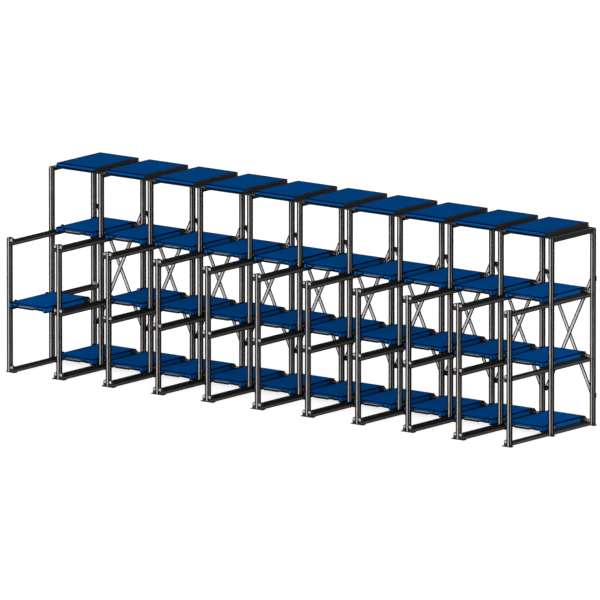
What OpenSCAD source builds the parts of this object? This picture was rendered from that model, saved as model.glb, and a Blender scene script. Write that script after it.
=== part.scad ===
/* [Rack] */
// Number of bays side by side
bays = 10; // [2:1:10]
// Distance between the centres of neighbouring frames
bay_pitch = 630; // [560:5:760]
// Height of the middle and rear posts above the floor
tall_post_h = 2000; // [1850:5:2400]
// Height from one tray level to the next
level_pitch = 654; // [560:2:700]

/* [Posts and feet] */
// Width of a post along the rack
post_w = 30; // [26:1:40]
// Depth of a post
post_d = 40; // [34:1:60]
// Wall of the post tube
post_wall = 2; // [1.5:0.5:4]
// Corner radius of the post tube
post_r = 4.5; // [4.5:0.5:8]
// How far a front post stands above the top rail stops
post_over_stop = 6; // [2:1:60]
// Thickness of a post cap
cap_t = 4; // [2:0.5:10]
// Depth of the cap's plug inside the tube
cap_plug = 18; // [8:1:40]
// Clearance of the plug in the tube
cap_fit = 0.3; // [0.2:0.1:0.6]
// Thickness of a foot plate
foot_t = 8; // [5:1:15]
// How far a foot plate stands out past the rails on it
foot_side = 23; // [5:1:40]
// How far a foot plate stands out in front of its post and behind it
foot_margin = 3; // [2:1:20]
// How far a foot plate stands out on the free side of an end post
foot_end = 21; // [5:1:40]

/* [Rails and rollers] */
// Width of a rail channel
rail_w = 39; // [36:1:60]
// Height of a rail channel
rail_h = 26; // [22:1:36]
// Thickness of the channel's sheet
rail_t = 2.5; // [1.5:0.5:3]
// Room beside the roller strip for the rail bolt heads
bolt_room = 8.5; // [7:0.5:12]
// Clearance of the roller strip in its channel and beside its stops
strip_gap = 0.5; // [0.3:0.1:1]
// Diameter of a roller
roller_d = 22; // [16:1:24]
// Length of a roller
roller_len = 21; // [16:1:24]
// Distance between rollers
roller_pitch = 32; // [28:1:60]
// How far the rollers stand above the channel
roller_over = 7; // [2:0.5:10]
// How much of a roller stands out of its carrier
roller_out = 9; // [5:0.5:10]
// Width of a rail stop
stop_w = 39; // [30:1:60]
// Height of a rail stop above the channel
stop_h = 37; // [32:1:50]
// Depth of a front rail stop
stop_d = 28.5; // [15:0.5:60]
// How far a stop's plug lies inside the channel's open end
plug_back = 10; // [4:1:14]
// Flat part of a rear rail stop's top, before it slopes down
stop_flat = 10; // [4:1:30]
// Height of a rear rail stop's low end above the channel
stop_low = 6; // [2:1:20]
// Radius of the rounded top corner of a rail stop
stop_r = 14; // [4:1:20]
// Diameter of a rail bolt
bolt_d = 8; // [6:1:10]
// Width of a bolt head across its corners
bolt_head_d = 15; // [13:0.5:18]
// Height of a bolt head
bolt_head_h = 5; // [3:0.5:6]
// Clearance of a bolt in its hole, all round
bolt_fit = 0.2; // [0.1:0.1:0.5]

/* [Trays] */
// Depth of a tray
tray_d = 718; // [600:2:820]
// Gap between a rail and the side of a tray
side_gap = 26; // [15:0.5:40]
// How far a stored tray stands in front of the middle posts
front_reach = 18; // [5:1:40]
// Distance from a stored tray's rear edge to the centre of the rear posts
rear_gap = 10; // [5:1:60]
// Running gap between the wheels and the rollers
run_gap = 0.5; // [0.2:0.1:0.9]
// Height of a tray's sides with its deck
tray_h = 49; // [44:1:56]
// How far the side sheets reach below the wheels
side_drop = 5; // [0:0.5:6]
// Thickness of the deck
deck_t = 4; // [2:0.5:6]
// Thickness of the side and skirt sheet
sheet_t = 3; // [2:0.5:4]
// Hairline between neighbouring tray pieces
weld_gap = 0.1; // [0.05:0.05:0.2]
// Width of a front corner box
corner_w = 35; // [20:1:50]
// Depth of a front corner box
corner_d = 110; // [80:1:130]
// Height of a front corner box
corner_h = 48; // [34:1:50]
// Width of a front skirt beside the corner box
skirt_w = 60; // [30:1:80]
// Height of a front skirt
skirt_h = 28; // [20:1:40]
// Depth of the handle recess behind the skirts
recess_d = 30; // [15:1:60]
// Height of the recess wall
recess_h = 38; // [36:1:42]
// Length of a wheel bracket in a tray's side
bracket_len = 80; // [60:1:100]
// Thickness of a wheel bracket
bracket_t = 8; // [5:0.5:12]
// Depth of a cross rib under the deck
rib_h = 30; // [15:1:40]
// Thickness of a cross rib
rib_t = 4; // [2:0.5:8]

/* [Wheels and handle] */
// Diameter of a tray wheel
wheel_d = 50; // [44:1:60]
// Width of a tray wheel
wheel_w = 16; // [10:1:18]
// Diameter of a wheel axle
axle_d = 12; // [8:1:16]
// Clearance of a wheel on its axle, all round
axle_fit = 0.2; // [0.15:0.05:0.4]
// Distance from the tray's front edge to the front wheels' centre
front_wheel_in = 150; // [130:1:170]
// Distance from the tray's rear edge to the rear wheels' centre, moved to the nearest roller
rear_wheel_in = 56; // [40:1:64]
// Distance from the rail's outer edge to the middle of a wheel on it
wheel_inset = 6; // [4:0.5:16]
// Gap left between a wheel and the stop it meets
stop_gap = 0.5; // [0.3:0.1:2]
// Diameter of the collar between a tray's side and its wheel
collar_d = 22; // [18:1:30]
// How far an axle stands out past its wheel
axle_end = 4; // [2:0.5:6]
// Length of the handle's grip
grip_len = 200; // [140:2:220]
// Diameter of the handle's grip
grip_d = 14; // [10:1:20]
// How far the handle stands in front of the skirts
handle_out = 24; // [18:1:50]
// How far the grip's centre lies below the deck's top
handle_drop = 24; // [18:1:32]
// Width of a handle leg
leg_w = 12; // [8:1:16]
// Height of a handle leg
leg_h = 12; // [8:1:16]
// How far a handle leg slants outwards
leg_slant = 26; // [10:1:30]

/* [Top] */
// Height of a side beam under the shelves
beam_h = 42; // [30:1:60]
// How far a side beam's flange reaches under the shelves beside it
flange_out = 70; // [40:1:90]
// Thickness of a side beam's flange
flange_t = 6; // [3:0.5:8]
// Thickness of a cross bar
bar_t = 9; // [4:0.5:12]
// Gap between the cross bars of neighbouring bays
bar_gap = 2; // [1:0.5:6]
// Width of a shelf
shelf_w = 496; // [400:2:540]
// Distance from the front face of the middle posts to the shelf's front
shelf_back = 12; // [4:1:30]
// Distance from the rear face of the rear posts to the shelf's rear
shelf_rear = 4; // [2:1:30]
// Height of a shelf
shelf_h = 44; // [28:1:60]
// Thickness of the shelf's sheet
shelf_t = 3; // [2:0.5:5]
// Thickness of a shelf edge strip
edge_t = 4; // [2:0.5:8]
// How far a shelf clip stands out from the shelf
clip_out = 27; // [15:1:40]
// Width of a shelf clip
clip_w = 28; // [15:1:34]
// Height of a shelf clip
clip_h = 25; // [12:1:34]
// Thickness of a shelf clip
clip_t = 3; // [2:0.5:5]

/* [Braces] */
// Height of the lower brace ends above the floor
brace_low_z = 304; // [200:1:500]
// Height of the upper brace ends above the floor
brace_high_z = 1492; // [1100:1:1700]
// Distance from a frame's centre to the brace ends beside it
brace_inset = 32; // [25:1:60]
// Width of a brace
brace_w = 28; // [16:1:34]
// Thickness of a brace
brace_t = 5; // [3:0.5:8]
// How far a brace plate reaches past the brace end on it
plate_past = 20; // [12:1:40]
// How far a brace plate stands out on the free side of an end post
plate_end = 13; // [5:1:40]
// Height of a brace plate
plate_h = 50; // [40:1:90]
// Thickness of a brace plate
plate_t = 4; // [3:0.5:8]
// Diameter of a brace bolt
brace_bolt_d = 10; // [8:1:12]
// Width of the brace nut across its corners
brace_nut_d = 19; // [16:0.5:24]
// Height of the brace nut
brace_nut_h = 8; // [5:0.5:12]

/* [Hidden] */
$fn = 48;
hex = 6;
level_names = ["lower", "middle", "upper"];
levels = len(level_names);
out_bay = 1;
out_level = 1;

tray_front = -post_d / 2 - front_reach;
tray_rear = tray_front + tray_d;
row_gap = tray_rear + rear_gap;
rows = [-row_gap, 0, row_gap];
front_row = rows[0];
middle_row = rows[1];
rear_row = rows[2];

rail_x = post_w / 2;
rail_front = front_row - post_d / 2;
rail_back = rear_row + post_d / 2;
rail_len = rail_back - rail_front;
bolt_z = rail_h / 2;
strip_x = rail_x + rail_t + bolt_room;
strip_w = rail_w - 2 * rail_t - bolt_room - strip_gap;
roller_top = rail_h + roller_over;
carrier_top = roller_top - roller_out;
top_rail_z = foot_t + (levels - 1) * level_pitch;
front_post_h = top_rail_z + rail_h + stop_h + post_over_stop;

tray_side = rail_x + rail_w + side_gap;
tray_w = bay_pitch - 2 * tray_side;
tray_z = roller_top + run_gap;
deck_z = tray_z + tray_h;
under_deck = deck_z - deck_t - weld_gap;
side_front = tray_front + corner_d + weld_gap;
side_rear = tray_rear - sheet_t - weld_gap;
axle_z = tray_z + wheel_d / 2;
wheel_out = side_gap + wheel_inset;
recess_y = tray_front + recess_d;
recess_half = tray_w / 2 - corner_w - weld_gap - skirt_w;
grip_y = tray_front - handle_out;
handle_z = deck_z - handle_drop;

wheel_stand_off = wheel_d / 2 + stop_gap;
front_stop_y = rail_front + stop_d;
front_axle_y = tray_front + front_wheel_in;
// The front wheel of a tray that is fully out stands on the first roller, a stored rear wheel on the last
first_roller = front_stop_y + wheel_stand_off;
rollers = 1 + round((tray_rear - rear_wheel_in - first_roller) / roller_pitch);
rear_axle_y = first_roller + (rollers - 1) * roller_pitch;
rear_stop_y = rear_axle_y + wheel_stand_off;
tray_travel = front_axle_y - first_roller;
strip_front = front_stop_y + strip_gap;
strip_len = rear_stop_y - strip_gap - strip_front;

shelf_front = middle_row - post_d / 2 + shelf_back;
shelf_d = rear_row + post_d / 2 - shelf_rear - shelf_front;
shelf_z = tall_post_h + bar_t;
brace_y = rear_row + post_d / 2 + plate_t;
brace_rise = brace_high_z - brace_low_z;
brace_run = bay_pitch - 2 * brace_inset;
brace_len = norm([brace_run, brace_rise]);
brace_angle = atan2(brace_rise, brace_run);

steel_grey = "#a8a19d";
rail_grey = "#77716d";
stop_grey = "#c8bfbb";
black = "#1d1f20";
blue = "#0058aa";
brace_grey = "#b9b0a8";

FRAME_NODES = [
    "front_posts", "middle_posts", "rear_posts", "front_post_caps",
    "front_foot_plates", "middle_foot_plates", "rear_foot_plates",
    "lower_rails", "middle_rails", "upper_rails",
    "lower_roller_strips", "middle_roller_strips", "upper_roller_strips",
    "front_rail_stops", "rear_rail_stops", "rail_bolts",
    "top_side_beams", "front_cross_bars", "rear_cross_bars",
    "top_shelves", "shelf_edge_strips", "shelf_clips",
    "rising_braces", "falling_braces", "brace_plates", "brace_bolts"
];

function tray_name(bay, level) = str("tray_", bay < 10 ? "0" : "", bay, "_", level_names[level]);
function frame_x(i) = (i - bays / 2) * bay_pitch;
function bay_x(bay) = frame_x(bay - 0.5);
function rail_z(level) = foot_t + level * level_pitch;
// Sides of a frame that carry rails: an end frame has them only towards the rack
function rail_sides(i) = i == 0 ? [1] : i == bays ? [-1] : [-1, 1];

module at_frames() {
    for (i = [0:bays]) translate([frame_x(i), 0, 0]) children();
}

module at_bays() {
    for (bay = [1:bays]) translate([bay_x(bay), 0, 0]) children();
}

// Places a child at every rail of one level, its post face at X = 0 and its width towards +X
module at_rails(level) {
    for (i = [0:bays], side = rail_sides(i))
        translate([frame_x(i), 0, rail_z(level)])
            mirror([side < 0 ? 1 : 0, 0, 0])
                translate([rail_x, 0, 0]) children();
}

// Both sides of something that is symmetrical about X = 0
module both_sides() {
    for (side = [0, 1]) mirror([side, 0, 0]) children();
}

// Runs a section drawn in X and Z along Y, from y0 to y1
module along_y(y0, y1) {
    translate([0, y1, 0]) rotate([90, 0, 0]) linear_extrude(y1 - y0) children();
}

module rounded_rect(w, d, r) {
    square([w - 2 * r, d], center = true);
    square([w, d - 2 * r], center = true);
    for (x = [-1, 1], y = [-1, 1])
        translate([x * (w / 2 - r), y * (d / 2 - r)]) circle(r);
}

module x_cylinder(d, x0, x1, sides = 48) {
    translate([x0, 0, 0]) rotate([0, 90, 0]) cylinder(d = d, h = x1 - x0, $fn = sides);
}

// One post with the holes for its rail bolts
module post(top) {
    difference() {
        translate([0, 0, foot_t]) linear_extrude(top - foot_t) difference() {
            rounded_rect(post_w, post_d, post_r);
            rounded_rect(post_w - 2 * post_wall, post_d - 2 * post_wall, post_r - post_wall);
        }
        for (level = [0:levels - 1]) translate([0, 0, rail_z(level) + bolt_z])
            x_cylinder(bolt_d + 2 * bolt_fit, -post_w, post_w);
    }
}

module front_posts() {
    color(steel_grey) at_frames() translate([0, front_row, 0]) post(front_post_h - cap_t);
}

module middle_posts() {
    color(steel_grey) at_frames() translate([0, middle_row, 0]) post(tall_post_h);
}

module rear_posts() {
    color(steel_grey) at_frames() translate([0, rear_row, 0]) post(tall_post_h);
}

module front_post_caps() {
    plug = 2 * (post_wall + cap_fit);
    color(black) at_frames() translate([0, front_row, front_post_h - cap_t]) {
        linear_extrude(cap_t) rounded_rect(post_w, post_d, post_r);
        translate([0, 0, -cap_plug]) linear_extrude(cap_plug)
            rounded_rect(post_w - plug, post_d - plug, post_r - post_wall);
    }
}

// A row of foot plates: each reaches under the rails beside its post
module foot_plates(row) {
    rail_side = rail_x + rail_w + foot_side;
    free_side = rail_x + foot_end;
    d = post_d + 2 * foot_margin;
    color(black) for (i = [0:bays]) {
        left = i == 0 ? free_side : rail_side;
        right = i == bays ? free_side : rail_side;
        translate([frame_x(i) - left, row - d / 2, 0]) cube([left + right, d, foot_t]);
    }
}

module front_foot_plates() { foot_plates(front_row); }
module middle_foot_plates() { foot_plates(middle_row); }
module rear_foot_plates() { foot_plates(rear_row); }

module rail_section() {
    difference() {
        square([rail_w, rail_h]);
        translate([rail_t, rail_t]) square([rail_w - 2 * rail_t, rail_h]);
    }
}

// The channels of one level, drilled beside each post
module rails(level) {
    color(rail_grey) at_rails(level) difference() {
        along_y(rail_front, rail_back) rail_section();
        for (row = rows) translate([0, row, bolt_z])
            x_cylinder(bolt_d + 2 * bolt_fit, -rail_t, 2 * rail_t);
    }
}

module lower_rails() { rails(0); }
module middle_rails() { rails(1); }
module upper_rails() { rails(2); }

// One row of rollers on its carrier
module roller_strip() {
    translate([strip_x - rail_x, strip_front, rail_t])
        cube([strip_w, strip_len, carrier_top - rail_t]);
    for (k = [0:rollers - 1])
        translate([strip_x - rail_x + (strip_w - roller_len) / 2, first_roller + k * roller_pitch,
                   roller_top - roller_d / 2])
            x_cylinder(roller_d, 0, roller_len);
}

module roller_strips(level) {
    color(black) at_rails(level) roller_strip();
}

module lower_roller_strips() { roller_strips(0); }
module middle_roller_strips() { roller_strips(1); }
module upper_roller_strips() { roller_strips(2); }

module stop_section() {
    translate([0, rail_h]) {
        square([stop_w, stop_h - stop_r]);
        square([stop_w - stop_r, stop_h]);
        translate([stop_w - stop_r, stop_h - stop_r]) circle(stop_r);
    }
}

// End block of a rail, from y0 to y1 above the channel, with a plug in it from p0 to p1
module rail_stop(y0, y1, p0, p1) {
    along_y(y0, y1) stop_section();
    along_y(p0, p1) translate([strip_x - rail_x, rail_t]) square([strip_w, rail_h - rail_t]);
}

// The side view of a rear stop, which slopes down behind the wheel
module rear_stop_profile() {
    top = rail_h + stop_h;
    polygon([
        [rear_stop_y, 0], [rear_stop_y, top], [rear_stop_y + stop_flat, top],
        [rail_back, rail_h + stop_low], [rail_back, 0]
    ]);
}

module front_rail_stops() {
    color(stop_grey) for (level = [0:levels - 1]) at_rails(level)
        rail_stop(rail_front, front_stop_y, rail_front + plug_back, front_stop_y);
}

module rear_rail_stops() {
    color(stop_grey) for (level = [0:levels - 1]) at_rails(level) intersection() {
        rail_stop(rear_stop_y, rail_back, rear_stop_y, rail_back - plug_back);
        rotate([90, 0, 90]) linear_extrude(max(stop_w, rail_w)) rear_stop_profile();
    }
}

// A bolt through one post and the rails beside it
module rail_bolt(left, right) {
    x_cylinder(bolt_d, -left, right);
    x_cylinder(bolt_head_d, right, right + bolt_head_h, hex);
    x_cylinder(bolt_head_d, -left - bolt_head_h, -left, hex);
}

module rail_bolts() {
    in_rail = rail_x + rail_t;
    color(black) for (i = [0:bays], row = rows, level = [0:levels - 1])
        translate([frame_x(i), row, rail_z(level) + bolt_z])
            rail_bolt(i == 0 ? rail_x : in_rail, i == bays ? rail_x : in_rail);
}

// A tube between the posts, with a flat flange on it that closes the gap between the shelves
module side_beam(left, right) {
    y0 = middle_row + post_d / 2;
    y1 = rear_row - post_d / 2;
    translate([0, 0, tall_post_h - beam_h / 2]) along_y(y0, y1) difference() {
        rounded_rect(post_w, beam_h, post_r);
        rounded_rect(post_w - 2 * post_wall, beam_h - 2 * post_wall, post_r - post_wall);
    }
    translate([-left, y0 + bar_gap, tall_post_h]) cube([left + right, y1 - y0 - 2 * bar_gap, flange_t]);
}

module top_side_beams() {
    free_side = post_w / 2;
    shelf_side = free_side + flange_out;
    color(black) for (i = [0:bays]) translate([frame_x(i), 0, 0])
        side_beam(i == 0 ? free_side : shelf_side, i == bays ? free_side : shelf_side);
}

// Flat bars on the post tops, one for each bay, flush with the end posts
module cross_bars(row) {
    color(black) for (bay = [1:bays]) {
        x0 = bay == 1 ? frame_x(0) - post_w / 2 : frame_x(bay - 1) + bar_gap / 2;
        x1 = bay == bays ? frame_x(bays) + post_w / 2 : frame_x(bay) - bar_gap / 2;
        translate([x0, row - post_d / 2, tall_post_h]) cube([x1 - x0, post_d, bar_t]);
    }
}

module front_cross_bars() { cross_bars(middle_row); }
module rear_cross_bars() { cross_bars(rear_row); }

// Folded pans, open below
module top_shelves() {
    w = shelf_w - 2 * edge_t;
    color(blue) at_bays() translate([-w / 2, shelf_front, shelf_z]) difference() {
        cube([w, shelf_d, shelf_h]);
        translate([shelf_t, shelf_t, -shelf_t]) cube([w - 2 * shelf_t, shelf_d - 2 * shelf_t, shelf_h]);
    }
}

module shelf_edge_strips() {
    color(black) at_bays() both_sides()
        translate([shelf_w / 2 - edge_t, shelf_front, shelf_z]) cube([edge_t, shelf_d, shelf_h]);
}

// An angle on the cross bar, its upright against the shelf's edge at X = 0
module shelf_clip() {
    cube([clip_out, clip_w, clip_t]);
    cube([clip_t, clip_w, clip_h]);
}

module shelf_clips() {
    color(black) at_bays() {
        translate([shelf_w / 2, rear_row - clip_w / 2, shelf_z]) shelf_clip();
        mirror([1, 0, 0]) translate([shelf_w / 2, middle_row - clip_w / 2 + shelf_t, shelf_z]) shelf_clip();
    }
}

// A flat bar with a bolt hole at each end, from the origin along X
module brace_bar() {
    linear_extrude(brace_t) difference() {
        union() {
            translate([0, -brace_w / 2]) square([brace_len, brace_w]);
            for (x = [0, brace_len]) translate([x, 0]) circle(d = brace_w);
        }
        for (x = [0, brace_len]) translate([x, 0]) circle(d = brace_bolt_d + 2 * bolt_fit);
    }
}

// One diagonal per bay, in the given layer behind the rear posts
module braces(z, angle, layer) {
    color(brace_grey) for (bay = [1:bays])
        translate([frame_x(bay - 1) + brace_inset, brace_y + layer * brace_t, z])
            rotate([90, 0, 0]) rotate([0, 0, angle]) brace_bar();
}

module rising_braces() { braces(brace_low_z, brace_angle, 1); }
module falling_braces() { braces(brace_high_z, -brace_angle, 2); }

module brace_plates() {
    brace_side = brace_inset + plate_past;
    free_side = post_w / 2 + plate_end;
    color(black) for (i = [0:bays], z = [brace_low_z, brace_high_z]) {
        left = i == 0 ? free_side : brace_side;
        right = i == bays ? free_side : brace_side;
        translate([frame_x(i) - left, brace_y - plate_t, z - plate_h / 2])
            cube([left + right, plate_t, plate_h]);
    }
}

// A stud and nut behind a brace plate, with a washer under the bar of the second layer
module brace_bolt(layer) {
    rotate([-90, 0, 0]) {
        cylinder(d = brace_bolt_d, h = layer * brace_t + brace_nut_h);
        translate([0, 0, layer * brace_t]) cylinder(d = brace_nut_d, h = brace_nut_h, $fn = hex);
        if (layer > 1) cylinder(d = brace_w, h = (layer - 1) * brace_t);
    }
}

module brace_bolts() {
    color(black) for (bay = [1:bays], right = [0, 1], high = [0, 1]) {
        x = right ? frame_x(bay) - brace_inset : frame_x(bay - 1) + brace_inset;
        translate([x, brace_y, high ? brace_high_z : brace_low_z]) brace_bolt(right == high ? 1 : 2);
    }
}

// Wheel on the X axis with a hub sunk into both faces
module wheel() {
    r = wheel_d / 2;
    half = wheel_w / 2;
    bore = axle_d / 2 + axle_fit;
    sunk = half - 3;
    edge = 1.5;
    right_half = [
        [r, half - edge], [r - edge, half], [r - 5, half], [r - 7, sunk],
        [bore + 6, sunk], [bore + 4, half], [bore, half]
    ];
    left_half = [for (k = [len(right_half) - 1:-1:0]) [right_half[k][0], -right_half[k][1]]];
    rotate([0, 90, 0]) rotate_extrude() polygon(concat(right_half, left_half));
}

// Wheel and axle at one corner: the collar keeps the wheel over the rail
module wheel_set() {
    x_cylinder(axle_d, weld_gap, wheel_out + wheel_w / 2 + axle_end);
    x_cylinder(collar_d, weld_gap, wheel_out - wheel_w / 2 - axle_fit);
    translate([wheel_out, 0, 0]) wheel();
}

// Brackets and wheels of one side, with the tray's outside at X = 0
module tray_wheels() {
    for (y = [side_front, side_rear - bracket_len])
        translate([-bracket_t, y, under_deck - corner_h]) cube([bracket_t, bracket_len, corner_h]);
    for (y = [front_axle_y, rear_axle_y]) translate([0, y, axle_z]) wheel_set();
}

// Side sheet between the wheel brackets, on the outside at X = 0
module tray_side_sheet() {
    y0 = side_front + bracket_len + weld_gap;
    y1 = side_rear - bracket_len - weld_gap;
    z0 = tray_z - side_drop;
    translate([-sheet_t, y0, z0]) cube([sheet_t, y1 - y0, under_deck - z0]);
}

// Front skirt folded back beside the handle recess
module tray_skirt() {
    x0 = tray_w / 2 - corner_w - weld_gap - skirt_w;
    translate([x0, tray_front, under_deck - skirt_h]) {
        cube([skirt_w, sheet_t, skirt_h]);
        cube([sheet_t, recess_d - weld_gap, skirt_h]);
    }
}

module handle_leg() {
    x0 = grip_len / 2 - leg_w;
    y0 = grip_y + grip_d / 2 + weld_gap;
    y1 = recess_y - weld_gap;
    translate([0, 0, handle_z - leg_h / 2]) linear_extrude(leg_h)
        polygon([[x0, y0], [x0 + leg_w, y0], [x0 + leg_w + leg_slant, y1], [x0 + leg_slant, y1]]);
}

module tray_handle() {
    translate([0, grip_y, handle_z]) x_cylinder(grip_d, -grip_len / 2, grip_len / 2);
    both_sides() handle_leg();
}

module tray_pan() {
    inner_w = tray_w - 2 * sheet_t - 2 * weld_gap;
    translate([-tray_w / 2, tray_front, deck_z - deck_t]) cube([tray_w, tray_d, deck_t]);
    translate([-recess_half, recess_y, under_deck - recess_h]) cube([2 * recess_half, sheet_t, recess_h]);
    translate([-tray_w / 2, tray_rear - sheet_t, under_deck - corner_h]) cube([tray_w, sheet_t, corner_h]);
    for (share = [0.4, 0.7])
        translate([-inner_w / 2, tray_front + share * tray_d, under_deck - rib_h])
            cube([inner_w, rib_t, rib_h]);
    both_sides() {
        translate([tray_w / 2 - corner_w, tray_front, under_deck - corner_h])
            cube([corner_w, corner_d, corner_h]);
        tray_skirt();
        translate([tray_w / 2, 0, 0]) tray_side_sheet();
    }
}

// One tray, stored in its bay, or pulled out where the rack shows it so
module tray(bay, level) {
    out = bay == out_bay && level == out_level ? tray_travel : 0;
    translate([bay_x(bay), -out, rail_z(level)]) {
        color(blue) tray_pan();
        color(steel_grey) tray_handle();
        color(black) both_sides() translate([tray_w / 2, 0, 0]) tray_wheels();
    }
}

front_posts();
middle_posts();
rear_posts();
front_post_caps();
front_foot_plates();
middle_foot_plates();
rear_foot_plates();
lower_rails();
middle_rails();
upper_rails();
lower_roller_strips();
middle_roller_strips();
upper_roller_strips();
front_rail_stops();
rear_rail_stops();
rail_bolts();
top_side_beams();
front_cross_bars();
rear_cross_bars();
top_shelves();
shelf_edge_strips();
shelf_clips();
rising_braces();
falling_braces();
brace_plates();
brace_bolts();
for (bay = [1:bays], level = [0:levels - 1])
    tray(bay, level);
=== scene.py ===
import math

import bpy
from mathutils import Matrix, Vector


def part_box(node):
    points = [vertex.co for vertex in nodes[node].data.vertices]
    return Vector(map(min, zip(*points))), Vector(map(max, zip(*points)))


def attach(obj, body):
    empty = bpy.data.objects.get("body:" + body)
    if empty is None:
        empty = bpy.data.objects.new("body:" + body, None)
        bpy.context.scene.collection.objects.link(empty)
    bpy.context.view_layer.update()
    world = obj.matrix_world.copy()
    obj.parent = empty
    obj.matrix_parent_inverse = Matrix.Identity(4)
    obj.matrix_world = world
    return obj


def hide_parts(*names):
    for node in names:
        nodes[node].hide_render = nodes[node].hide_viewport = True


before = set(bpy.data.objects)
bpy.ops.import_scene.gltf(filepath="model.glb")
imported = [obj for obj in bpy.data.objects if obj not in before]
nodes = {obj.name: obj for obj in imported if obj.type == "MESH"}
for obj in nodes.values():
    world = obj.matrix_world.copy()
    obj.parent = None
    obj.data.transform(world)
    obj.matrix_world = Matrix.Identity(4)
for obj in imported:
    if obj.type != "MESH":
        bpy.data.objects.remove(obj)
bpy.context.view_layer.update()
mm = 0.001
grid = {"bays": 10, "bay": 630.0, "row": 690.0, "level": 654.0}      # how the rack repeats, in millimetres
levelNames = ("lower", "middle", "upper")
print("frame:", len(nodes), "CAD nodes")


# camera: a long lens, because the photograph is a parallel view
cameraView = {
    "azimuth": 37.45, "elevation": 11.05,           # degrees
    "aim": (-0.0033, 0.0067, 1.0054),               # metres, the middle of the picture
    "frameWidth": 6.01, "distance": 264.0, "clipEnd": 1056.0,
    "sensor": 36.0,                                 # millimetres
}


def addCamera(spec):
    azimuth, elevation = math.radians(spec["azimuth"]), math.radians(spec["elevation"])
    back = Vector((
        math.sin(azimuth) * math.cos(elevation),
        -math.cos(azimuth) * math.cos(elevation),
        math.sin(elevation),
    ))
    bpy.ops.object.camera_add(location=Vector(spec["aim"]) + back * spec["distance"])
    camera = bpy.context.object
    camera.name = "photoCamera"
    camera.rotation_euler = (-back).to_track_quat("-Z", "Y").to_euler()
    camera.data.sensor_width = spec["sensor"]
    camera.data.lens = spec["sensor"] * spec["distance"] / spec["frameWidth"]
    camera.data.clip_end = spec["clipEnd"]
    bpy.context.scene.camera = camera


addCamera(cameraView)
bpy.context.scene.view_settings.view_transform = "Standard"
print("camera set")


# material helpers
def startMaterial(name):
    material = bpy.data.materials.new(name)
    material.use_nodes = True
    tree = material.node_tree
    tree.nodes.clear()
    shader = tree.nodes.new("ShaderNodeBsdfPrincipled")
    output = tree.nodes.new("ShaderNodeOutputMaterial")
    tree.links.new(shader.outputs["BSDF"], output.inputs["Surface"])
    coords = tree.nodes.new("ShaderNodeTexCoord")
    return material, tree, shader, coords.outputs["Object"]


def plug(tree, socket, value):                      # another node's output, or a fixed value
    if hasattr(value, "is_linked"):
        tree.links.new(value, socket)
    else:
        socket.default_value = value


def addNoise(tree, coords, scale, detail, stretch=None):
    if stretch:                                     # drawn-out grain, as on rolled or brushed metal
        mapping = tree.nodes.new("ShaderNodeMapping")
        mapping.inputs["Scale"].default_value = stretch
        tree.links.new(coords, mapping.inputs["Vector"])
        coords = mapping.outputs["Vector"]
    noise = tree.nodes.new("ShaderNodeTexNoise")
    noise.inputs["Scale"].default_value = scale
    noise.inputs["Detail"].default_value = detail
    tree.links.new(coords, noise.inputs["Vector"])
    return noise.outputs["Fac"]


def mapRange(tree, value, fromLow, fromHigh, toLow, toHigh):
    node = tree.nodes.new("ShaderNodeMapRange")
    limits = {"From Min": fromLow, "From Max": fromHigh, "To Min": toLow, "To Max": toHigh}
    for socket, number in limits.items():
        node.inputs[socket].default_value = number
    tree.links.new(value, node.inputs["Value"])
    return node.outputs["Result"]


def mixColour(tree, share, first, second):
    node = tree.nodes.new("ShaderNodeMix")
    node.data_type = "RGBA"
    tree.links.new(share, node.inputs["Factor"])
    for socket, colour in ((node.inputs[6], first), (node.inputs[7], second)):       # the colour sockets
        plug(tree, socket, colour if hasattr(colour, "is_linked") else (*colour, 1.0))
    return node.outputs[2]


def addMath(tree, operation, *values):
    node = tree.nodes.new("ShaderNodeMath")
    node.operation = operation
    for socket, value in zip(node.inputs, values):
        plug(tree, socket, value)
    return node.outputs[0]


def splitAxes(tree, vector):
    node = tree.nodes.new("ShaderNodeSeparateXYZ")
    tree.links.new(vector, node.inputs[0])
    return node.outputs


def wrapRound(tree, value, step):                   # distance from the nearest of evenly spaced places
    return addMath(tree, "WRAP", value, step / 2 * mm, -step / 2 * mm)


def addBump(tree, shader, height, strength, distance):
    bump = tree.nodes.new("ShaderNodeBump")
    bump.inputs["Strength"].default_value = strength
    bump.inputs["Distance"].default_value = distance
    tree.links.new(height, bump.inputs["Height"])
    tree.links.new(bump.outputs["Normal"], shader.inputs["Normal"])


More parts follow.
